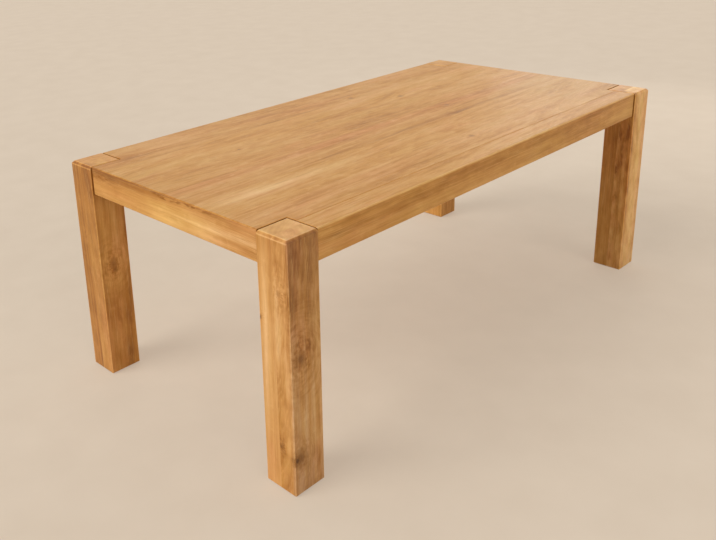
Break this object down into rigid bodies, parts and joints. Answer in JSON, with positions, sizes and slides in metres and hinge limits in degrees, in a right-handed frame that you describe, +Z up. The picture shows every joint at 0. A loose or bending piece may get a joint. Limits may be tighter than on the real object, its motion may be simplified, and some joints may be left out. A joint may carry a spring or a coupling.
{
  "type": "parsons dining table",
  "caption": "Rectangular solid-wood dining table: square corner posts end flush with the boarded top, and deep mitred edge boards run between them.",
  "frame": {"origin": "on the floor under the middle of the table", "axes": "+X along the length, +Y from the front long side to the back one, +Z up"},
  "size_m": [2, 1, 0.75],
  "materials": {
    "top_oak": "oiled, satin",
    "edge_oak": "oiled, satin",
    "leg_oak": "oiled, satin",
    "beech": "raw, planed",
    "zinc_steel": "zinc plated",
    "felt": "pressed felt"
  },
  "bodies": {
    "root": {"top_board_1": "top_oak", "top_board_2": "top_oak", "top_board_3": "top_oak", "top_board_4": "top_oak", "top_board_5": "top_oak", "top_board_6": "top_oak", "top_board_7": "top_oak", "apron_front": "edge_oak", "apron_back": "edge_oak", "apron_left": "edge_oak", "apron_right": "edge_oak", "spline_front": "beech", "spline_back": "beech", "spline_left": "beech", "spline_right": "beech", "leg_front_left_outer_stave": "leg_oak", "leg_front_left_inner_stave": "leg_oak", "corner_block_front_left": "beech", "felt_pad_front_left": "felt", "leg_front_right_outer_stave": "leg_oak", "leg_front_right_inner_stave": "leg_oak", "corner_block_front_right": "beech", "felt_pad_front_right": "felt", "leg_back_left_outer_stave": "leg_oak", "leg_back_left_inner_stave": "leg_oak", "corner_block_back_left": "beech", "felt_pad_back_left": "felt", "leg_back_right_outer_stave": "leg_oak", "leg_back_right_inner_stave": "leg_oak", "corner_block_back_right": "beech", "felt_pad_back_right": "felt", "batten_left": "beech", "batten_right": "beech", "hanger_bolts": "zinc_steel", "bolt_washers": "zinc_steel", "bolt_nuts": "zinc_steel", "block_screws": "zinc_steel", "batten_screws": "zinc_steel"}
  },
  "joints": []
}
